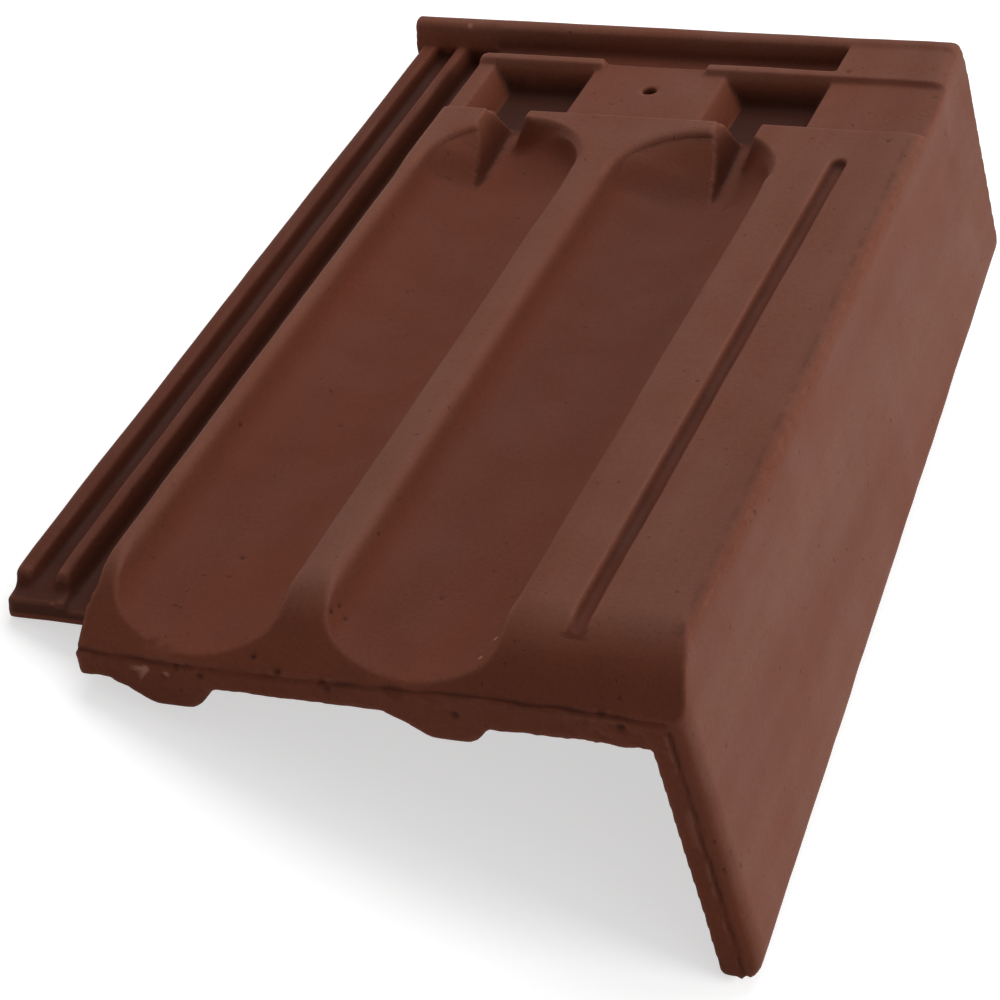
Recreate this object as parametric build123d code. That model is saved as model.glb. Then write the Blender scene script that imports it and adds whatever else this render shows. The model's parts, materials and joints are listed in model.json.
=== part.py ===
from build123d import *
from math import atan2, cos, degrees, hypot, radians, sin, tan
import os

# Right-hand verge roof tile, pressed and fired as one piece of clay.
# X runs across the tile, Y up the slope to the head and Z out of the roof, in mm.
# The raised field's rear left corner is the modelling origin, and its top is z = 0.

# Main lengths, and the flat bands that part the troughs.
field_length = 341.0
head_length = 76.0
slab = 14.0
left_band = 3.7
middle_band = 9.8
right_field = 44.1
edge_radius = 2.0

# Two round troughs with a rounded rim and a bowl at the head end.
trough_width = 62.0
trough_depth = 18.7
trough_side_radius = 11.0
trough_wall = 12.5
rim_radius = 3.0
bowl_margin = 3.0

# Narrow round-ended groove in the right field.
groove_gap = 22.1
groove_width = 6.5
groove_head_gap = 20.5
groove_nose_gap = 5.0

# Front edge: rounded nose, slanted face, step line and lip; the nose cut passes just over the flat top.
# The nose stands furthest back on the left band and furthest forward on the right field.
nose_setback_left = 27.0
nose_setback_middle = 22.0
nose_setback_right = 13.0
nose_radius = 30.0
nose_lift = 0.1
step_drop = 21.5
step_ledge = 1.2
lip_drop = 31.5
lip_drop_right = 34.0
lip_thickness = 14.0
cheek_swell = 2.5
cheek_full_length = 12.0
cheek_length = 26.0

# Feet under the lip, which key into the head pockets of the tile below.
foot_one_shift = -28.7
foot_two_shift = -7.5
foot_left_run = 15.0
foot_flat = 15.0
foot_right_run = 7.0
foot_drop = 40.5
foot_length = 34.0
foot_rear_run = 12.0
foot_radius = 8.0

# Head: pad, water channel, rear ridge and two rib pieces.
pad_drop = 2.5
pad_start = 2.5
rib_start = 43.0
rib_thickness = 6.0
rib_one_margin = 1.2
rib_two_margin = 7.5
channel_drop = 9.0
ridge_foot = 66.0
ridge_slope = 3.0
ridge_rise = 1.2
ridge_radius = 3.0
ridge_overhang = 2.5
ridge_end_radius = 4.0
block_width = 43.6
head_underside_drop = 21.0

# Head pockets with sloped walls, and the slots that join them to the troughs.
pocket_one_shift = -8.4
pocket_two_shift = 12.5
pocket_width = 47.0
pocket_front = 4.5
pocket_floor_width = 30.0
pocket_floor_front = 9.0
pocket_floor_back = 38.0
pocket_drop = 14.0
pocket_wall = 11.0
slot_one_shift = -9.4
slot_two_shift = 9.0
slot_width = 18.0
slot_floor_width = 5.0
slot_rear_drop = 14.0
slot_one_middle_drop = 17.3
slot_two_middle_drop = 18.2
slot_one_front_drop = 17.4
slot_two_front_drop = 18.4
slot_near = 8.0
slot_bend = 15.0
slot_middle = 25.0
slot_length = 37.0

# Nail hole in the pad, midway between the pockets.
nail_hole_diameter = 6.0
nail_hole_y = 28.0

# Hanging nibs behind the batten.
nib_width = 34.0
nib_thickness = 14.0
nib_drop = 42.5
nib_face_y = 52.0

# Left side interlock: outer rib, channel, inner rib, deep channel.
flange_width = 35.5
flange_drop = 23.0
flange_front_gap = 15.0
rib_end_gap = 24.0
flange_rib_drop = 8.0
outer_rib_width = 5.8
outer_channel_drop = 14.0
outer_channel_width = 9.5
inner_rib_width = 4.0
deep_channel_drop = 17.0
rib_draft = 1.3
rib_radius = 1.5

# Side flap: leans out, flares towards the front and is deeper there.
flap_thickness = 15.5
flap_lean = 8.9
flap_flare = 2.13
flap_corner_radius = 5.5
flap_inner_radius = 8.0
flap_front_depth = 125.0
flap_rear_depth = 90.0
flap_rear_cut = 13.0
flap_tip_radius = 3.0
flap_front_radius = 6.0
flap_rear_radius = 12.0
flap_outer_edge_radius = 8.0
flap_inner_edge_radius = 3.0

# Angle at which the loose tile lies on level ground, on its flange, one nib and the flap's front corner.
rest_roll = 22.1

# Overlap of joined pieces, and reach of the cutters past the surface.
lap = 0.5
over = 20.0

front_y = -field_length
head_y = head_length
half_trough = trough_width / 2
rim_x = half_trough + rim_radius
trough_one_x = left_band + rim_x
trough_two_x = trough_one_x + 2 * rim_x + middle_band
groove_x = trough_two_x + rim_x + groove_gap
body_width = trough_two_x + rim_x + right_field
slab_right = body_width - flap_thickness
pocket_one_x = trough_one_x + pocket_one_shift
pocket_two_x = trough_two_x + pocket_two_shift
nail_hole_x = (pocket_one_x + pocket_two_x) / 2


def box_between(x0, x1, y0, y1, z0, z1):
    return Pos((x0 + x1) / 2, (y0 + y1) / 2, (z0 + z1) / 2) * Box(x1 - x0, y1 - y0, z1 - z0)


def rounded_face(points, rounds):
    # Face through 3D points, with some corners rounded by their own radius.
    face = make_face(Polyline(*points, close=True))
    for corner, radius in rounds:
        face = fillet(face.vertices().sort_by_distance(corner)[0], radius)
    return face


def side_face(points, *rounds):
    # Face in the YZ plane from (y, z) points, with (y, z, radius) rounded corners.
    return rounded_face([(0, y, z) for y, z in points], [((0, y, z), radius) for y, z, radius in rounds])


def cross_face(points, *rounds):
    # Face in the XZ plane from (x, z) points, with (x, z, radius) rounded corners.
    return rounded_face([(x, 0, z) for x, z in points], [((x, 0, z), radius) for x, z, radius in rounds])


def along_x(face, x0, x1):
    return Pos(x0, 0, 0) * extrude(face, amount=x1 - x0, dir=(1, 0, 0))


def along_y(face, y0, y1):
    return Pos(0, y0, 0) * extrude(face, amount=y1 - y0, dir=(0, 1, 0))


# Body slab with its lip, deeper on the right.
def body_side(drop):
    points = [
        (front_y, -drop),
        (front_y, 0),
        (head_y, 0),
        (head_y, -head_underside_drop),
        (rib_start, -head_underside_drop),
        (rib_start - pocket_wall, -slab),
        (front_y + lip_thickness + slab, -slab),
        (front_y + lip_thickness, -drop),
    ]
    lip_front = (front_y, -drop, edge_radius)
    lip_back = (front_y + lip_thickness, -drop, edge_radius)
    return side_face(points, lip_front, lip_back)


tile = along_x(body_side(lip_drop), 0, trough_two_x)
left_edges = tile.faces().sort_by(Axis.X)[0].edges().filter_by(Axis.Y)
tile = fillet(left_edges.sort_by(Axis.Z)[-1], edge_radius)
tile += along_x(body_side(lip_drop_right), trough_two_x, slab_right)

# Cheek: the left side swells a little towards the front.
cheek_right = edge_radius + lap
cheek_points = [
    (cheek_right, front_y),
    (-cheek_swell, front_y),
    (-cheek_swell, front_y + cheek_full_length),
    (cheek_right, front_y + cheek_length),
]
cheek = extrude(make_face(Polyline(*cheek_points, close=True)), amount=lip_drop, dir=(0, 0, -1))
tile += cheek & along_x(body_side(lip_drop), -cheek_swell, cheek_right)

# Left side flange with its two ribs and two channels, and rib ends sloped at the front.
outer_x = -flange_width
channel_left = outer_x + rib_draft + outer_rib_width
channel_right = channel_left + outer_channel_width
rib_right = channel_right + inner_rib_width
flange_points = [
    (outer_x, -flange_drop),
    (outer_x + rib_draft, -flange_rib_drop),
    (channel_left, -flange_rib_drop),
    (channel_left + rib_draft, -outer_channel_drop),
    (channel_right - rib_draft, -outer_channel_drop),
    (channel_right, -flange_rib_drop),
    (rib_right, -flange_rib_drop),
    (rib_right + 2 * rib_draft, -deep_channel_drop),
    (lap, -deep_channel_drop),
    (lap, -flange_drop),
]
rib_tops = [(x, z, rib_radius) for x, z in flange_points if z == -flange_rib_drop]
flange = along_y(cross_face(flange_points, *rib_tops), front_y + flange_front_gap, head_y)
rib_top = over - flange_rib_drop
rib_end_points = [
    (front_y, -outer_channel_drop),
    (front_y + rib_end_gap - rib_draft, -outer_channel_drop),
    (front_y + rib_end_gap, -flange_rib_drop),
    (front_y + rib_end_gap, rib_top),
    (front_y, rib_top),
]
tile += flange - along_x(side_face(rib_end_points), outer_x - over, 2 * lap)

# Rear ridge, standing a little above the field, with a bump past the flange's outer edge.
def ridge_section(bottom):
    points = [
        (head_y, -bottom),
        (head_y, ridge_rise),
        (ridge_foot + ridge_slope, ridge_rise),
        (ridge_foot, -channel_drop),
        (ridge_foot, -bottom),
    ]
    back = (head_y, ridge_rise, ridge_radius)
    shoulder = (ridge_foot + ridge_slope, ridge_rise, ridge_radius)
    return side_face(points, back, shoulder)


tile += along_x(ridge_section(flange_drop), outer_x, slab_right)
tile += along_x(ridge_section(outer_channel_drop), outer_x - ridge_overhang, outer_x + lap)

# Section of a trough in right halves: a flat arc below and a tighter arc up each side.
trough_floor = trough_depth - rim_radius
side_x = half_trough - trough_side_radius
floor_spread = side_x**2 + trough_floor**2 - trough_side_radius**2
floor_radius = floor_spread / 2 / (trough_floor - trough_side_radius)
floor_centre = floor_radius - trough_depth
turn = degrees(atan2(-rim_radius - floor_centre, side_x))
bowl_y = -bowl_margin - rim_x


def trough_wall_lines(grow):
    floor = CenterArc((0, floor_centre), floor_radius + grow, -90, turn + 90)
    side = CenterArc((side_x, -rim_radius), trough_side_radius + grow, turn, -turn)
    return floor, side


def run_and_bowl(half_face):
    # Straight run from the bowl's middle out past the front, with the bowl at its head end.
    run = extrude(half_face, amount=bowl_y - front_y + over, dir=(0, -1, 0))
    return run + mirror(run, Plane.YZ) + revolve(half_face, Axis.Z)


# Trough shells under the slab.
shell_floor, shell_side = trough_wall_lines(trough_wall)
shell_lid = Polyline(shell_side @ 1, (0, -rim_radius), shell_floor @ 0)
shell = run_and_bowl(make_face(Plane.XZ * Curve([shell_floor, shell_side, shell_lid])))
shell_front = front_y + lip_thickness
shell_bottom = -trough_depth - trough_wall - over
shell_limits = box_between(0, slab_right, shell_front, head_y, shell_bottom, lap - slab)
for trough_x in (trough_one_x, trough_two_x):
    tile += Pos(trough_x, bowl_y, 0) * shell & shell_limits

# Pocket undersides and hanging nibs at the head.
under_half = pocket_width / 2 + pocket_wall / 2
under_back = rib_start + rib_thickness
under_drop = pocket_drop + pocket_wall
nib_back = nib_face_y + nib_thickness
for pocket_x in (pocket_one_x, pocket_two_x):
    under_left = pocket_x - under_half
    under_right = pocket_x + under_half
    under = box_between(under_left, under_right, bowl_y, under_back, -under_drop, lap - slab)
    under = chamfer(under.faces().sort_by(Axis.Z)[0].edges(), pocket_wall / 2)
    tile += under & shell_limits
    nib_left = pocket_x - nib_width / 2
    nib_right = pocket_x + nib_width / 2
    tile += box_between(nib_left, nib_right, nib_face_y, nib_back, -nib_drop, -pocket_drop - lap)

# Feet, flush with the lip and sloped up at the rear.
foot_side_points = [
    (front_y, -foot_drop),
    (front_y, -trough_depth),
    (front_y + foot_length, -trough_depth),
    (front_y + foot_length - foot_rear_run, -foot_drop),
]
foot_front = (front_y, -foot_drop, edge_radius)
for foot_left in (trough_one_x + foot_one_shift, trough_two_x + foot_two_shift):
    flat_left = foot_left + foot_left_run
    flat_right = flat_left + foot_flat
    foot_right = flat_right + foot_right_run
    foot_points = [
        (foot_left, -trough_depth),
        (foot_left, -lip_drop),
        (flat_left, -foot_drop),
        (flat_right, -foot_drop),
        (foot_right, -lip_drop),
        (foot_right, -trough_depth),
    ]
    bottom_left = (flat_left, -foot_drop, foot_radius)
    bottom_right = (flat_right, -foot_drop, foot_radius)
    foot = along_y(cross_face(foot_points, bottom_left, bottom_right), front_y, front_y + foot_length)
    tile += foot & along_x(side_face(foot_side_points, foot_front), foot_left, foot_right)

# Side flap: an angle section that moves out and gets deeper towards the front, trimmed to its side outline.
lean = tan(radians(flap_lean))
flare = tan(radians(flap_flare))
rear_y = head_y - flap_rear_cut
flap_taper = (flap_front_depth - flap_rear_depth) / (rear_y - front_y)
front_flare = flare * (head_y - front_y)
flap_left = slab_right - flap_thickness


def flap_section(y):
    depth = flap_rear_depth + flap_taper * (rear_y - y)
    crease_x = body_width + flare * (head_y - y)
    bottom_x = crease_x + lean * depth
    inner_x = crease_x + lean * slab - flap_thickness
    points = [
        (flap_left, 0),
        (crease_x, 0),
        (bottom_x, -depth),
        (bottom_x - flap_thickness, -depth),
        (inner_x, -slab),
        (flap_left, -slab),
    ]
    rounds = [
        (crease_x, 0, flap_corner_radius),
        (bottom_x, -depth, flap_outer_edge_radius),
        (bottom_x - flap_thickness, -depth, flap_inner_edge_radius),
        (inner_x, -slab, flap_inner_radius),
    ]
    return Pos(0, y, 0) * cross_face(points, *rounds)


flap_run = loft([flap_section(front_y - over), flap_section(head_y + over)], ruled=True)
outline_points = [
    (front_y, -flap_front_depth - lap),
    (front_y, over),
    (head_y, over),
    (head_y, -slab),
    (rear_y, -flap_rear_depth - lap),
]
tip_round = (front_y, -flap_front_depth - lap, flap_tip_radius)
rear_round = (rear_y, -flap_rear_depth - lap, flap_rear_radius)
outline_right = body_width + front_flare + lean * flap_front_depth + over
outline = along_x(side_face(outline_points, tip_round, rear_round), flap_left - over, outline_right)

# Rounding of the flap's front outer edge, as the waste outside an arc that touches both faces.
corner_angle = radians(90 - flap_flare)
touch = flap_front_radius / tan(corner_angle / 2)
front_touch = (-touch, 0)
side_touch = (-touch * cos(corner_angle), touch * sin(corner_angle))
to_corner = flap_front_radius / hypot(touch, flap_front_radius)
arc_middle = (touch * (to_corner - 1), flap_front_radius * (1 - to_corner))
waste_lines = Polyline(front_touch, (-touch, -over), (over, -over), (over, side_touch[1]), side_touch)
waste_face = make_face(Curve([waste_lines, ThreePointArc(side_touch, arc_middle, front_touch)]))
waste = extrude(waste_face, amount=flap_front_depth + over, dir=(lean, 0, -1))
tile += (flap_run & outline) - Pos(body_width + front_flare, front_y, 0) * waste

# Ridge carried on over the flap's rear corner.
end_x = body_width - lap
ridge_end_points = [
    (flap_left, -slab),
    (flap_left, ridge_rise),
    (end_x, ridge_rise),
    (end_x + lean * (slab + ridge_rise), -slab),
]
ridge_end = along_y(cross_face(ridge_end_points, (end_x, ridge_rise, ridge_end_radius)), ridge_foot, head_y)
tile += ridge_end & along_x(ridge_section(slab), flap_left, body_width + over)

# Lip carried on to the flap.
lip_points = [
    (front_y, -lip_drop_right),
    (front_y, lap - slab),
    (front_y + lip_thickness + slab, lap - slab),
    (front_y + lip_thickness, -lip_drop_right),
]
tile += along_x(side_face(lip_points), slab_right - lap, body_width + front_flare - flap_thickness / 2)


# Front edge in three zones that meet inside the troughs, each with its own nose and slanted face.
def front_waste(setback, x0, x1):
    points = [
        (front_y - over, -step_drop),
        (front_y, -step_drop),
        (front_y + step_ledge, step_ledge - step_drop),
        (front_y + setback, nose_lift),
        (front_y + setback + nose_radius, nose_lift),
        (front_y + setback + nose_radius, over),
        (front_y - over, over),
    ]
    return along_x(side_face(points, (front_y + setback, nose_lift, nose_radius)), x0, x1)


tile -= front_waste(nose_setback_left, -cheek_swell - lap, trough_one_x)
tile -= front_waste(nose_setback_middle, trough_one_x, trough_two_x)
tile -= front_waste(nose_setback_right, trough_two_x, outline_right)

# Troughs, with a rounded rim and a bowl at the head end.
bowl_floor, bowl_side = trough_wall_lines(0)
rim = CenterArc((rim_x, -rim_radius), rim_radius, 180, -90)
trough_lid = Polyline(rim @ 1, (rim_x, over), (0, over), bowl_floor @ 0)
trough = run_and_bowl(make_face(Plane.XZ * Curve([bowl_floor, bowl_side, rim, trough_lid])))
for trough_x in (trough_one_x, trough_two_x):
    tile -= Pos(trough_x, bowl_y, 0) * trough

# Pad and strip behind the raised field, carried on between the rib pieces.
rib_one_right = pocket_one_x + pocket_width / 2 + rib_one_margin
rib_two_left = pocket_two_x - pocket_width / 2 - rib_two_margin
tile -= box_between(0, body_width + over, pad_start, rib_start, -pad_drop, over)
tile -= box_between(rib_one_right, rib_two_left, rib_start - lap, ridge_foot - lap, -pad_drop, over)

# Water channel between the ribs and the rear ridge, closed at the right by a block.
channel_front = rib_start + rib_thickness
channel_points = [
    (channel_front - rib_draft, ridge_rise + lap),
    (channel_front - rib_draft, 0),
    (channel_front, -channel_drop),
    (ridge_foot, -channel_drop),
    (ridge_foot + ridge_slope, ridge_rise + lap),
]
channel = along_x(side_face(channel_points), -lap, body_width - block_width)
tile -= channel


# Head pockets with sloped walls.
def pocket_section(pocket_x, half, y0, y1, z):
    corners = [(-half, y0), (half, y0), (half, y1), (-half, y1)]
    return make_face(Polyline(*[(pocket_x + x, y, z) for x, y in corners], close=True))


# Slots from the pockets into the bowls, steep on the left and fanning out to the bowl's rim on the right.
def slot_section(slot_x, y, drop, rim_right):
    floor_half = slot_floor_width / 2
    reach = (drop + over) / drop
    left = -floor_half - (slot_width / 2 - floor_half) * reach
    right = floor_half + (rim_right - floor_half) * reach
    points = [(-floor_half, -drop), (floor_half, -drop), (right, over), (left, over)]
    return make_face(Polyline(*[(slot_x + x, y, z) for x, z in points], close=True))


slot_rear = pocket_floor_front + lap


# The right rim is the slot's own or the bowl's, whichever lies further out.
def slot_rim(distance, slot_shift):
    bowl_half = (rim_x**2 - (distance + bowl_y) ** 2) ** 0.5
    return max(bowl_half - slot_shift, slot_width / 2)


def pocket_and_slot(pocket_x, trough_x, slot_shift, middle_drop, front_drop):
    rim_face = pocket_section(pocket_x, pocket_width / 2, pocket_front, rib_start, 0)
    floor_half = pocket_floor_width / 2
    floor_face = pocket_section(pocket_x, floor_half, pocket_floor_front, pocket_floor_back, -pocket_drop)
    slot_x = trough_x + slot_shift
    slope = (middle_drop - slot_rear_drop) / (slot_rear + slot_middle)
    mouth_drop = slot_rear_drop + slope * (slot_rear + bowl_margin)
    sections = [slot_section(slot_x, slot_rear, slot_rear_drop, slot_width / 2)]
    sections += [slot_section(slot_x, -bowl_margin, mouth_drop, slot_width / 2)]
    for distance in (slot_near, slot_bend, slot_middle):
        drop = slot_rear_drop + slope * (slot_rear + distance)
        sections += [slot_section(slot_x, -distance, drop, slot_rim(distance, slot_shift))]
    sections += [slot_section(slot_x, -slot_length, front_drop, slot_rim(slot_length, slot_shift))]
    return loft([floor_face, rim_face]) + loft(sections, ruled=True)


tile -= pocket_and_slot(pocket_one_x, trough_one_x, slot_one_shift, slot_one_middle_drop, slot_one_front_drop)
tile -= pocket_and_slot(pocket_two_x, trough_two_x, slot_two_shift, slot_two_middle_drop, slot_two_front_drop)

# Groove in the right field.
groove_radius = groove_width / 2
groove_rear = -groove_head_gap - groove_radius
groove_front = front_y + nose_setback_right + groove_nose_gap
groove_middle = Pos(groove_x, (groove_rear + groove_front) / 2, 0) * Rot(90, 0, 0)
groove = groove_middle * Cylinder(groove_radius, groove_rear - groove_front)
groove += Pos(groove_x, groove_rear, 0) * Sphere(groove_radius)
groove += Pos(groove_x, groove_front, 0) * Sphere(groove_radius)
tile -= groove

# Nail hole.
tile -= Pos(nail_hole_x, nail_hole_y, -slab) * Cylinder(nail_hole_diameter / 2, 2 * slab)

# Lay the tile as it rests on level ground, centred over the origin.
tile = Rot(0, -rest_roll, 0) * tile
box = tile.bounding_box()
tile = Pos(-box.center().X, -box.center().Y, -box.min.Z) * tile

os.makedirs("parts", exist_ok=True)
roof_tile = tile.solids()[0]
roof_tile.label = "roof_tile"
export_step(roof_tile, "parts/roof_tile.step")
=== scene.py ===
import json
from math import radians

import bpy
import numpy as np
from mathutils import Matrix, Vector, noise


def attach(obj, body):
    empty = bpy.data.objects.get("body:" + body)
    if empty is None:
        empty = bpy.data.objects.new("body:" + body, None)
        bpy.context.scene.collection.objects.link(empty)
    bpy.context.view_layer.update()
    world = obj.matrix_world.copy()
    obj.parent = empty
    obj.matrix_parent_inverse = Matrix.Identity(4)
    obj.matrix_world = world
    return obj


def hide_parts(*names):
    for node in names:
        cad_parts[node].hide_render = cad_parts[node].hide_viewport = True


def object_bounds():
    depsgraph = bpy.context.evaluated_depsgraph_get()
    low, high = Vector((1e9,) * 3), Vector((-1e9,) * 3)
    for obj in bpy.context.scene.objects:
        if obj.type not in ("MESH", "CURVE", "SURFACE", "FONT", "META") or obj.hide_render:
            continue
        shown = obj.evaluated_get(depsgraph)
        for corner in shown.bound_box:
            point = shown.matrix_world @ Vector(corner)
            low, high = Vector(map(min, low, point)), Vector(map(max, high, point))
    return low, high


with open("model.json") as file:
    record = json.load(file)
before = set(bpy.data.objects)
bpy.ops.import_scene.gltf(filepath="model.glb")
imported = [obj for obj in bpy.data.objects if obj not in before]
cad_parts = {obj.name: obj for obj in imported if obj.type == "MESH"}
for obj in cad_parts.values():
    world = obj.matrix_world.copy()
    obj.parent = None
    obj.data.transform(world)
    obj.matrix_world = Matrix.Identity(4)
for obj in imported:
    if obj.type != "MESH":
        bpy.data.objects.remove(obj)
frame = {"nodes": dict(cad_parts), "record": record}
cad_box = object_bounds()
scene = bpy.context.scene
scene.view_settings.view_transform = "Standard"

# Roof tile.
# One piece of red-brown clay, pressed in a mould, dried and fired without a glaze.
# Its edges are soft from the wet clay, and its front lip is rough where the surplus was cut off.
MM = 0.001

# Places on the tile are in millimetres in its own axes: across, along towards the head, and up.
nail_hole = next(mount for mount in frame["record"]["mounts"] if mount["name"] == "nail_hole")
nail_hole_in_tile = np.array((78.65, 28.0, -8.25))
tile_up = Vector(nail_hole["axis"]).normalized()
tile_along = Vector((0, 1, 0))
tile_across = tile_along.cross(tile_up)
tile_axes = np.array((tile_across, tile_along, tile_up)).T
tile_origin = np.array(nail_hole["pos_m"]) - tile_axes @ nail_hole_in_tile * MM
to_row = Matrix(tile_axes.tolist()).to_4x4()
to_row.translation = tile_origin


def applied(piece):
    # Mesh of the piece with its modifiers worked in.
    depsgraph = bpy.context.evaluated_depsgraph_get()
    mesh = bpy.data.meshes.new_from_object(piece.evaluated_get(depsgraph))
    piece.modifiers.clear()
    old = piece.data
    piece.data = mesh
    bpy.data.meshes.remove(old)
    return mesh


def vertex_values(source, name):
    values = np.empty(len(source) * 3)
    source.foreach_get(name, values)
    return values.reshape(-1, 3)


skin_cell = 0.95 * MM
clay_tile = bpy.data.objects.new("clay_tile", frame["nodes"]["roof_tile"].data.copy())
scene.collection.objects.link(clay_tile)
clay_tile.data.materials.clear()
clay_tile.data.transform(to_row.inverted())
remesh = clay_tile.modifiers.new("pressed", "REMESH")
remesh.mode = "VOXEL"
remesh.voxel_size = skin_cell
tile_mesh = applied(clay_tile)


def ramp(value, start, end):
    # 0 as far as the start, 1 from the end on, and even between; the end may lie below the start.
    return np.clip((value - start) / (end - start), 0, 1)


def within(value, low, high):
    return (value > low) & (value < high)


# Heads of the two troughs, sloped gently on the left of the slot and hollowed smoothly on its right.
# Each trough has its middle, its slot's middle, and how much the slot's floor falls per millimetre.
troughs = ((37.7, 28.3, 0.096), (115.5, 124.5, 0.122))
front_y = -341.0
bowl_y = -37.0
bowl_radius = 34.0
bowl_bottom = -22.0
rim_gap = 0.3
slot_half = 9.0
slot_floor_half = 2.5
slot_rear_y = 9.5
slot_rear_drop = 14.0
slope_drop = 17.5
slope_reach = 36.0
slope_fade = 16.0
lowest_wall = -30.0
hollow_curve = 1.5
hollow_fade = 6.0
spot = vertex_values(tile_mesh.vertices, "co") / MM
for trough_x, slot_x, slot_fall in troughs:
    x, y, z = spot.T
    from_rim = bowl_radius - np.hypot(x - trough_x, y - bowl_y)
    in_bowl = (from_rim > rim_gap) & (y > bowl_y) & (z > bowl_bottom)
    slot_drop = slot_rear_drop + slot_fall * (slot_rear_y - y)
    slope_z = -slope_drop * (1 - (1 - ramp(from_rim, 0, slope_reach)) ** 2)
    wall_z = -slot_drop * (x - slot_x + slot_half) / (slot_half - slot_floor_half)
    head_share = ramp(y, bowl_y, bowl_y + slope_fade)
    head_share = head_share**2 * (3 - 2 * head_share)
    lift = np.maximum(np.minimum(slope_z, np.maximum(wall_z, lowest_wall)) - z, 0) * head_share
    left_of_slot = in_bowl & (x < slot_x - slot_floor_half)
    rim_right = trough_x + np.sqrt(np.maximum(bowl_radius**2 - (y - bowl_y) ** 2, 0))
    foot_right = slot_x + slot_floor_half
    across = ramp(x, foot_right, np.maximum(rim_right, foot_right + 1))
    hollow_z = -slot_drop * (1 - across**hollow_curve)
    fall = np.minimum(hollow_z - z, 0) * ramp(y, -4, -8) * ramp(y, bowl_y, bowl_y + hollow_fade)
    right_of_slot = in_bowl & (x > foot_right)
    spot[:, 2] += np.where(left_of_slot, lift, 0) + np.where(right_of_slot, fall, 0)


def bell(distance, width):
    return np.exp(-((distance / width) ** 2))


def edge_ends(mesh):
    ends = np.empty(len(mesh.edges) * 2, dtype=np.int32)
    mesh.edges.foreach_get("vertices", ends)
    return ends.reshape(-1, 2).T


def edge_counts(first, second, size):
    return np.maximum(np.bincount(np.append(first, second), minlength=size), 1)


def neighbour_mean(values, first, second):
    # Mean of each value over the points that an edge joins to it.
    total = np.bincount(first, values[second], len(values))
    total += np.bincount(second, values[first], len(values))
    return total / edge_counts(first, second, len(values))


# Soft edges of the wet clay, softest on the interlock's front end, the feet, the rims and beside the slots.
softening = 0.6
rounds_all_over = 2
rounds_at_ends = 14
rounds_at_rims = 26
rim_width = 5.0
interlock_x = -3.0
foot_z = -32.0
flap_side_x = 180.0
first, second = edge_ends(tile_mesh)
x, y, z = spot.T.copy()
at_front = ramp(y, front_y + 38, front_y + 26)
soft_end = 0.8 * at_front * ramp(x, interlock_x, interlock_x - 2)
soft_foot = 0.6 * at_front * ramp(z, foot_z, foot_z - 3) * (x < flap_side_x)
soft_head = np.zeros(len(spot))
for beside_x, beside_y, outer_radius, inner_radius in ((47, -20, 22, 14), (137, -22, 16, 9)):
    beside_slot = ramp(np.hypot(x - beside_x, y - beside_y), outer_radius, inner_radius)
    soft_head = np.maximum(soft_head, beside_slot)
soft_head *= ramp(z, -3, -6)
from_rims = [np.abs(np.abs(x - trough_x) - bowl_radius) for trough_x, _, _ in troughs]
along_trough = ramp(y, front_y + 22, front_y + 34) * ramp(y, bowl_y - 4, bowl_y - 16)
soft_rim = 0.9 * bell(np.minimum(*from_rims), rim_width) * along_trough * ramp(z, -14, -9)
softest = np.maximum(soft_head, soft_rim)
soft = np.maximum(softest, np.maximum(soft_end, soft_foot))
for round_number in range(rounds_at_rims):
    share = soft if round_number < rounds_at_ends else softest
    if round_number < rounds_all_over:
        share = np.ones(len(spot))
    mean = np.stack([neighbour_mean(line, first, second) for line in spot.T], 1)
    spot += (mean - spot) * softening * share[:, None]
tile_mesh.vertices.foreach_set("co", (spot * MM).ravel())
tile_mesh.update()
facing = vertex_values(tile_mesh.vertex_normals, "vector")
x, y, z = spot.T


def lumps(points, size, seed):
    # Smooth noise between about -1 and 1 at the points, in lumps of the given size.
    return np.array([noise.noise(Vector(point)) for point in points / size + seed])


# Waviness of the pressed clay.
wave_height = 0.3
ripple_height = 0.09
relief = wave_height * lumps(spot, size=46.0, seed=3.0) + ripple_height * lumps(spot, size=13.0, seed=8.0)

# Crease between field and flap, pushed out a little along its middle, with a ragged seam on it.
rear_crease_x = 193.6
flap_flare = 0.0372
head_y = 76.0
crease_push = 2.2
crease_round = 1.6
crease_seam_height = 0.3
crease_seam_width = 2.0


def past_crease(across, along):
    return across - rear_crease_x - flap_flare * (head_y - along)


along_middle = ramp(y, front_y + 20, front_y + 80) * ramp(y, 60, 30)
from_crease = past_crease(x, y)
seam_distance = np.hypot(from_crease + crease_round, z + crease_round)
spot[:, 0] += crease_push * along_middle * ramp(from_crease, -12, -2) * ramp(z, -45, -5)
crease_seam = bell(seam_distance, crease_seam_width) * along_middle
relief += crease_seam_height * crease_seam * lumps(spot, size=5.0, seed=61.0)

# Mould seam along the front and down the flap's front face, with the torn lip below it.
seam_across = (0.0, 37.0, 60.0, 94.0, 143.0, 183.0, 205.0)
seam_heights = (-21.0, -22.2, -22.6, -21.8, -20.9, -21.6, -22.4)
seam_wander = 0.5
seam_depth = 0.9
seam_width = 0.7
burr_height = 0.6
burr_width = 0.9
burr_offset = 1.7
flap_lean = 0.1566
flap_crease_x = 209.1
flap_seam_inset = 7.2
flap_seam_wander = 0.7
flap_seam_depth = 0.8
flap_seam_width = 0.8
flap_burr_height = 0.8
flap_face_top = -35.5


def front_marks(points, normals):
    # Closeness to the front, raggedness, drop below the lip's seam and reach inside the flap's seam.
    across, along, height = points.T
    near = bell(np.minimum(along - front_y, 9), 2.2) * (normals[:, 1] < 0.2)
    drop = np.interp(across, seam_across, seam_heights) - height
    reach = flap_crease_x - flap_lean * height - across - flap_seam_inset
    return near, lumps(points, size=9.0, seed=21.0), drop, reach


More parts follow.
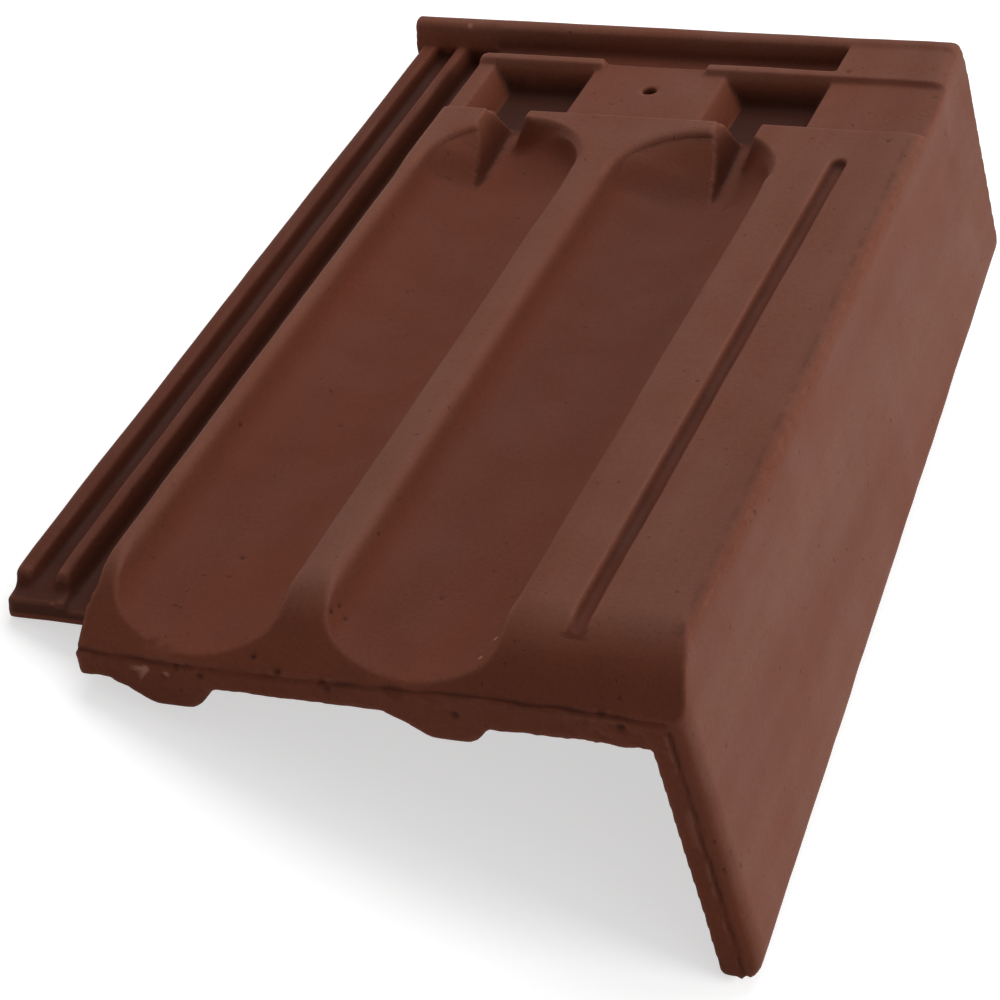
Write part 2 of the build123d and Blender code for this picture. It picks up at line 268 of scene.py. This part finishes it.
near_front, ragged, below_seam, inside_seam = front_marks(spot, facing)
roughest_x = 188.0
rough_foot_x = 35.0
torn = 0.5 * lumps(spot, size=6.0, seed=31.0) + 0.28 * lumps(spot, size=2.6, seed=41.0)
torn *= 0.7 + 0.9 * bell(x - roughest_x, 22) + 0.5 * bell(x - rough_foot_x, 25)
torn *= np.where(z < flap_face_top, 0.12, 1.15)
relief += near_front * ramp(below_seam, 0.5, 2.0) * ramp(inside_seam, 0, 1.2) * torn
on_lip = near_front * (inside_seam > 0)
on_flap_face = near_front * (below_seam > 2)
seam_gap = below_seam + seam_wander * ragged
flap_seam_gap = inside_seam + flap_seam_wander * ragged
relief -= seam_depth * on_lip * bell(seam_gap, seam_width)
relief += burr_height * on_lip * bell(seam_gap - burr_offset, burr_width) * (0.5 + ragged)
relief -= flap_seam_depth * on_flap_face * bell(flap_seam_gap, flap_seam_width)
relief += flap_burr_height * on_flap_face * bell(flap_seam_gap - burr_offset, burr_width) * (0.7 + ragged)

# Pits left by bubbles and grit, as place, radius and depth.
pits = (
    (34.5, -283.8, -18.6, 0.9, 0.8),
    (34.3, -295.2, -18.6, 0.7, 0.6),
    (36.3, -200.5, -18.7, 0.6, 0.5),
    (7.9, -220.9, -8.0, 0.7, 0.5),
    (111.5, -293.8, -18.5, 0.8, 0.7),
    (186.1, -5.4, 0.0, 0.9, 0.8),
    (155.1, 47.9, 0.0, 0.9, 0.8),
    (95.5, -27.7, -14.0, 0.7, 0.6),
    (34.5, front_y, -23.1, 1.4, 1.0),
    (43.2, front_y, -25.2, 1.3, 0.9),
    (133.1, front_y, -28.4, 1.5, 1.0),
    (183.3, -340.8, -21.3, 1.6, 1.1),
    (189.5, front_y, -25.4, 1.5, 1.1),
    (85.4, -322.1, -7.3, 0.8, 0.6),
    (86.0, -317.1, -8.5, 0.7, 0.5),
    (88.6, -319.6, -11.6, 0.7, 0.5),
    (62.1, -337.1, -17.7, 0.9, 0.7),
    (71.4, -340.0, -20.5, 1.2, 0.8),
    (87.3, front_y, -21.9, 1.3, 0.9),
    (89.0, front_y, -24.1, 1.2, 0.9),
)
# Nicks in the crease, chips that show the paler clay inside, and dents above the left foot.
nicks = (
    (203.8, -198.4, -4.4, 2.0, 0.8),
    (204.2, -220.7, -3.9, 2.2, 0.8),
    (206.1, -244.5, -5.8, 1.6, 0.7),
)
chips = (
    (-17.3, -326.0, -14.1, 1.6, 0.5),
    (23.2, front_y, -24.7, 1.6, 0.4),
    (30.2, front_y, -26.6, 1.5, 0.4),
    (141.0, -319.3, -12.5, 1.2, 0.3),
    (139.3, -328.8, -13.4, 1.1, 0.3),
    (-13.3, 69.2, 0.4, 1.5, 0.4),
)
edge_dents = (
    (24.9, -336.1, -17.4, 2.2, 0.9),
    (30.1, -337.2, -18.3, 1.8, 0.7),
)
for *middle, radius, depth in pits + nicks + chips + edge_dents:
    relief -= depth * bell(np.linalg.norm(spot - middle, axis=1), radius)

# Uneven lower edge of the flap.
flap_rear_y = 63.0
flap_rear_depth = 90.0
flap_extra_depth = 35.0
flap_inner_x = 185.0
edge_band = 16.0
edge_rise = 1.6
flap_depth = flap_rear_depth + flap_extra_depth * (flap_rear_y - y) / (flap_rear_y - front_y)
near_lower_edge = ramp(z + flap_depth, edge_band, 0) * (x > flap_inner_x)
unevenness = np.clip(lumps(np.stack([y, y, y], 1), size=34.0, seed=12.0) + 0.15, 0, 1)
spot = spot + facing * relief[:, None]
spot[:, 2] += near_lower_edge * unevenness * edge_rise


def kept_in_box(mesh):
    # Points of the mesh, none of them past the box of the solid.
    place = np.clip(vertex_values(mesh.vertices, "co"), cad_box[0], cad_box[1])
    mesh.vertices.foreach_set("co", place.ravel())
    mesh.update()
    return place


# The finished skin in its place, thinned; before that it is all four-sided faces of two triangles each.
triangle_limit = 190000
tile_mesh.vertices.foreach_set("co", (spot * MM).ravel())
tile_mesh.transform(to_row)
kept_in_box(tile_mesh)
triangles = 2 * len(tile_mesh.polygons)
thin = clay_tile.modifiers.new("thinned", "DECIMATE")
thin.ratio = min(1.0, triangle_limit / triangles)
tile_mesh = applied(clay_tile)
tile_mesh.shade_smooth()
place = kept_in_box(tile_mesh)

# Edges paler, partly wear and partly a painted highlight, and painted shade in the hollows, from how far
# the surface bends per millimetre.
sharp_bend = 0.12
shortest_edge = 0.1
bend_rounds = 3
normal = vertex_values(tile_mesh.vertex_normals, "vector")
spot = (place - tile_origin) @ tile_axes / MM
facing = normal @ tile_axes
x, y, z = spot.T
first, second = edge_ends(tile_mesh)
step = (place[second] - place[first]) / MM
length_squared = np.maximum((step**2).sum(1), shortest_edge**2)
bend = np.bincount(first, -(normal[first] * step).sum(1) / length_squared, len(place))
bend += np.bincount(second, (normal[second] * step).sum(1) / length_squared, len(place))
bend /= edge_counts(first, second, len(place))
for round_number in range(bend_rounds):
    bend = 0.5 * bend + 0.5 * neighbour_mean(bend, first, second)


def marked(marks, spread):
    # Marks as soft round spots, 1 at the middle of each.
    amount = np.zeros(len(spot))
    for *middle, radius, _ in marks:
        amount = np.maximum(amount, bell(np.linalg.norm(spot - middle, axis=1), radius * spread))
    return amount


# Cracks of the seams on the front, a painted shade line on the field beside the crease, and burrs of the
# seams on the flap and the crease with a painted highlight.
near_front, ragged, below_seam, inside_seam = front_marks(spot, facing)
seam_gap = below_seam + seam_wander * ragged
flap_seam_gap = inside_seam + flap_seam_wander * ragged
pale_burr_offset = 1.6
pale_burr_width = 0.8
field_shade_offset = 5.0
broken = np.clip(0.45 + 1.3 * lumps(spot, size=7.0, seed=51.0), 0, 1)
lip_crack = near_front * broken * (inside_seam > 0) * bell(seam_gap, 0.8)
flap_crack = near_front * broken * (below_seam > 2) * bell(flap_seam_gap, 0.9)
# Painted highlight along the raised burr beside the seam on the flap's front face.
flap_burr_highlight = near_front * np.clip(1.5 * broken, 0, 1) * (below_seam > 4)
flap_burr_highlight *= bell(flap_seam_gap - pale_burr_offset, pale_burr_width)
torn_face = near_front * ramp(below_seam, 0, 1.5) * ramp(inside_seam, 0, 1.2)
from_crease = past_crease(x - crease_push, y)
crease_line = within(y, front_y + 20, 40) * np.clip(1.4 * broken, 0, 1)
# Painted highlight along the ragged seam on the crease.
crease_burr_highlight = crease_line * bell(np.hypot(from_crease + crease_round, z + crease_round), 1.3)
# Painted shade: a faint dark line on the field beside the crease, where a shallow valley is.
crease_valley_shade = crease_line * bell(from_crease + field_shade_offset, 1.1) * (z > -2)

# Painted sheen paler on the tops and the flap's outer face, painted shade on the trough floors, and painted
# shade in the groove, interlock, pockets, head channel and slot walls.
groove_x = 171.6
groove_half = 3.4
field_right_x = 160.0
pocket_rear_y = 46.0
ridge_y = 70.0
in_groove = within(x, groove_x - groove_half, groove_x + groove_half) * within(z, -4, 0) * (y < -15)
in_groove = in_groove * ramp(z, -0.8, -2.3)
# Painted sheen: the tops and the flap's outer face are made paler, as light falls on them.
on_flap = ramp(facing[:, 0], 0.5, 0.8) * ramp(x, 188, 192)
painted_sheen = np.maximum(0.85 * ramp(z, -9, -0.5) ** 1.5, on_flap) * (1 - in_groove)
# Painted shade on the trough floors.
trough_shade = ramp(z, -10, -16) * within(y, front_y + 8, 0) * within(x, 3, 152)
in_interlock = ramp(x, -1.5, -3) * (0.34 + 0.51 * ramp(z, -9, -14)) * (y < 66)
in_pocket = ramp(y, 5, 11) * (y < pocket_rear_y) * ramp(z, -4, -10) * within(x, 4, field_right_x)
on_pocket_floor = in_pocket * (facing[:, 0] < 0.45)
in_head_channel = within(y, pocket_rear_y, ridge_y) * ramp(z, -1, -7) * within(x, 0, field_right_x)
# Painted shade in the interlock, head channel, pocket floors, groove and slot walls.
recess_shade = np.maximum(np.maximum(in_interlock, 0.5 * in_head_channel), on_pocket_floor) * (z > -20)
recess_shade = np.maximum(recess_shade, 0.4 * in_groove)
for _, slot_x, _ in troughs:
    on_slot_wall = within(x, slot_x - 10, slot_x) * (facing[:, 0] > 0.5) * within(y, -36, 8)
    recess_shade = np.maximum(recess_shade, 0.64 * on_slot_wall * ramp(z, -3, -12))

surface_layers = {
    "edge_wear_and_highlight": ramp(bend, 0, sharp_bend),
    "hollow_shade": ramp(-bend, 0, sharp_bend),
    "pit_darkening": marked(pits, 0.9),
    "chip": marked(chips, 1.0),
    "crack_and_valley_shade": np.maximum(np.maximum(0.75 * lip_crack, 0.45 * flap_crack), 0.3 * crease_valley_shade),
    "burr_highlight": np.maximum(flap_burr_highlight, 0.65 * crease_burr_highlight),
    "torn": torn_face,
    "painted_sheen": painted_sheen,
    "trough_shade": trough_shade,
    "recess_shade": recess_shade,
}
for name, values in surface_layers.items():
    layer = tile_mesh.attributes.new(name, "FLOAT", "POINT")
    layer.data.foreach_set("value", values)


def open_tree(owner):
    # Nodes and links of a material or world, in which the helpers below then work.
    owner.use_nodes = True
    return owner.node_tree.nodes, owner.node_tree.links


def node(kind, **settings):
    new = nodes.new(kind)
    for key, value in settings.items():
        setattr(new, key, value)
    return new


def feed(value, socket):
    # A number, colour or other socket into a node's input.
    if isinstance(value, bpy.types.NodeSocket):
        links.new(value, socket)
    else:
        socket.default_value = value


def grain(scale, detail, stretch=(1, 1, 1), roughness=0.5):
    # Noise over the tile, its scale in lumps per metre.
    mapping = node("ShaderNodeMapping")
    feed(stretch, mapping.inputs["Scale"])
    feed(coordinates.outputs["Object"], mapping.inputs["Vector"])
    texture = node("ShaderNodeTexNoise")
    feed(scale, texture.inputs["Scale"])
    feed(detail, texture.inputs["Detail"])
    feed(roughness, texture.inputs["Roughness"])
    feed(mapping.outputs[0], texture.inputs["Vector"])
    return texture.outputs["Fac"]


def between(value, low, high, to_low=0.0, to_high=1.0):
    spread = node("ShaderNodeMapRange", clamp=True)
    feed(value, spread.inputs["Value"])
    feed(low, spread.inputs["From Min"])
    feed(high, spread.inputs["From Max"])
    feed(to_low, spread.inputs["To Min"])
    feed(to_high, spread.inputs["To Max"])
    return spread.outputs["Result"]


def mixed(amount, under, over, blend="MIX"):
    mix = node("ShaderNodeMix", data_type="RGBA", blend_type=blend)
    feed(amount, mix.inputs[0])
    feed(under, mix.inputs[6])
    feed(over, mix.inputs[7])
    return mix.outputs[2]


def layer_of(name):
    return node("ShaderNodeAttribute", attribute_name=name).outputs["Fac"]


def maths(operation, first_value, second_value):
    new = node("ShaderNodeMath", operation=operation)
    feed(first_value, new.inputs[0])
    feed(second_value, new.inputs[1])
    return new.outputs[0]


# Fired clay, brown and red in long patches, paler where a sheen is painted on the tops and flap, and darker
# where shade is painted in the troughs, recesses and hollows.
brown = (0.134, 0.0360, 0.0185, 1)
red = (0.151, 0.0380, 0.0187, 1)
# Pale colour of the painted sheen.
sheen_pale = (0.194, 0.083, 0.056, 1)
# Darker brown painted as shade on the trough floors.
trough_shade_brown = (0.076, 0.031, 0.021, 1)
# Dark grit, seam cracks and pits, also painted as shade in the hollows and along the crease's valley line.
dark_grit_and_shade = (0.026, 0.009, 0.006, 1)
# Dark brown painted as shade in the recesses.
recess_shade_brown = (0.042, 0.0098, 0.0045, 1)
# Pale colour of worn edges, also a painted highlight on the edges and burrs.
pale_wear_and_highlight = (0.23, 0.085, 0.054, 1)
chip_colour = (0.34, 0.15, 0.10, 1)
long_patch = (1, 0.3, 1)
long_smear = (1, 0.22, 1)
long_band = (1, 0.07, 1)
clay = bpy.data.materials.new("fired_clay")
nodes, links = open_tree(clay)
shader = nodes["Principled BSDF"]
shader.inputs["Specular IOR Level"].default_value = 0.1
coordinates = node("ShaderNodeTexCoord")

patches = between(grain(22, 3, long_patch), 0.36, 0.64)
bands = between(grain(46, 3, long_band), 0.36, 0.66, to_low=0.34, to_high=0.68)
trough_shade_smears = between(grain(13, 2, long_smear), 0.42, 0.68, to_high=0.55)
speckle = between(grain(650, 3, roughness=0.7), 0.3, 0.7, to_low=0.9, to_high=1.08)
grit = between(grain(330, 2), 0.70, 0.76, to_high=0.5)
colour = mixed(patches, brown, red)
# Painted sheen, paler in long bands on the tops and the flap's outer face.
colour = mixed(maths("MULTIPLY", layer_of("painted_sheen"), bands), colour, sheen_pale)
# Painted shade, darker brown in long smears on the trough floors.
colour = mixed(maths("MULTIPLY", layer_of("trough_shade"), trough_shade_smears), colour, trough_shade_brown)
# Painted shade, dark brown in the recesses.
colour = mixed(layer_of("recess_shade"), colour, recess_shade_brown)
# Convex edges paler, partly wear and partly a painted highlight.
colour = mixed(between(layer_of("edge_wear_and_highlight"), 0.25, 1.0, to_high=0.35), colour, pale_wear_and_highlight)
# Painted shade, darker in the hollows where the surface bends inwards.
colour = mixed(between(layer_of("hollow_shade"), 0.2, 1.0, to_high=0.55), colour, dark_grit_and_shade)
colour = mixed(1.0, colour, speckle, "MULTIPLY")
colour = mixed(grit, colour, dark_grit_and_shade)
colour = mixed(between(layer_of("chip"), 0.3, 0.8), colour, chip_colour)
# Painted highlight, paler on the burrs.
colour = mixed(between(layer_of("burr_highlight"), 0.3, 0.9, to_high=0.6), colour, pale_wear_and_highlight)
# Seam cracks and pits darker, with the painted shade line beside the crease.
colour = mixed(maths("MAXIMUM", layer_of("crack_and_valley_shade"), layer_of("pit_darkening")), colour, dark_grit_and_shade)
feed(colour, shader.inputs["Base Color"])
feed(between(grain(40, 4), 0.3, 0.7, to_low=0.62, to_high=0.74), shader.inputs["Roughness"])

coarse_skin = maths("MULTIPLY", grain(420, 4, roughness=0.65), 0.7)
fine_skin = maths("MULTIPLY", grain(1400, 2), 0.3)
torn_skin = maths("MULTIPLY", layer_of("torn"), maths("MULTIPLY", grain(190, 4, roughness=0.6), 5.0))
bump = node("ShaderNodeBump")
bump.inputs["Strength"].default_value = 0.5
bump.inputs["Distance"].default_value = 0.25 * MM
feed(maths("ADD", maths("ADD", coarse_skin, fine_skin), torn_skin), bump.inputs["Height"])
feed(bump.outputs["Normal"], shader.inputs["Normal"])
tile_mesh.materials.append(clay)

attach(clay_tile, "root")
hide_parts("roof_tile")

# Studio floor.
# A wide matte white sheet that the tile lies on, with the tile's soft shadow on it.
# It is lifted to white for the rays that show it, and lights the tile only by its own colour.
white = (1, 1, 1, 1)
floor_half = 6.0
floor_colour = (0.75, 0.75, 0.75, 1)
floor_lift = 0.58
floor_mesh = bpy.data.meshes.new("studio_floor")
floor_corners = [(-floor_half, -floor_half, 0), (floor_half, -floor_half, 0)]
floor_corners += [(floor_half, floor_half, 0), (-floor_half, floor_half, 0)]
floor_mesh.from_pydata(floor_corners, [], [(0, 1, 2, 3)])
floor = bpy.data.objects.new("studio_floor", floor_mesh)
scene.collection.objects.link(floor)
sheet = bpy.data.materials.new("white_sheet")
nodes, links = open_tree(sheet)
sheet_shader = nodes["Principled BSDF"]
sheet_shader.inputs["Base Color"].default_value = floor_colour
sheet_shader.inputs["Roughness"].default_value = 1.0
sheet_shader.inputs["Specular IOR Level"].default_value = 0.0
sheet_shader.inputs["Emission Color"].default_value = white


def seen_directly():
    # 1 for rays that show the backdrop itself, 0 for rays that carry its light to the tile.
    path = node("ShaderNodeLightPath")
    direct = maths("MAXIMUM", path.outputs["Is Camera Ray"], path.outputs["Is Glossy Ray"])
    return maths("MAXIMUM", direct, path.outputs["Is Transmission Ray"])


feed(maths("MULTIPLY", seen_directly(), floor_lift), sheet_shader.inputs["Emission Strength"])
floor_mesh.materials.append(sheet)

# Studio light.
# A weak surround that looks white, a large soft lamp above and behind the tile's head,
# and a smaller one low on the flap's side.
surround_level = 0.3
world = bpy.data.worlds.new("surround")
scene.world = world
nodes, links = open_tree(world)
surround = nodes["Background"]
surround.inputs["Color"].default_value = white
feed(between(seen_directly(), 0.0, 1.0, to_low=surround_level), surround.inputs["Strength"])


def soft_lamp(name, direction, size, power, distance=2.0):
    lamp_data = bpy.data.lights.new(name, "AREA")
    lamp_data.shape = "DISK"
    lamp_data.size = size
    lamp_data.energy = power
    lamp = bpy.data.objects.new(name, lamp_data)
    scene.collection.objects.link(lamp)
    towards = Vector(direction).normalized()
    lamp.location = towards * distance
    lamp.rotation_euler = towards.to_track_quat("Z", "Y").to_euler()


soft_lamp("back_lamp", direction=(-0.26, 0.5, 0.83), size=1.8, power=21.5)
soft_lamp("side_lamp", direction=(0.865, 0.12, 0.5), size=1.1, power=18.5)

# Camera.
# It stands in front of the tile's lower edge, to the right, and is turned with the tile's tilt.
camera_place = Vector((0.15536, -1.05418, 0.86714))
camera_aim = Vector((-0.00098, -0.09815, 0.055))
camera_roll = radians(17.61)
photo_width = 1000
focal_length_in_pixels = 3676
camera_data = bpy.data.cameras.new("camera")
camera_data.sensor_width = 36.0
camera_data.lens = camera_data.sensor_width * focal_length_in_pixels / photo_width
camera_data.clip_end = 100.0
camera = bpy.data.objects.new("camera", camera_data)
scene.collection.objects.link(camera)
level_view = (camera_aim - camera_place).to_track_quat("-Z", "Y")
camera.matrix_world = (
    Matrix.Translation(camera_place)
    @ level_view.to_matrix().to_4x4()
    @ Matrix.Rotation(camera_roll, 4, "Z")
)
scene.camera = camera
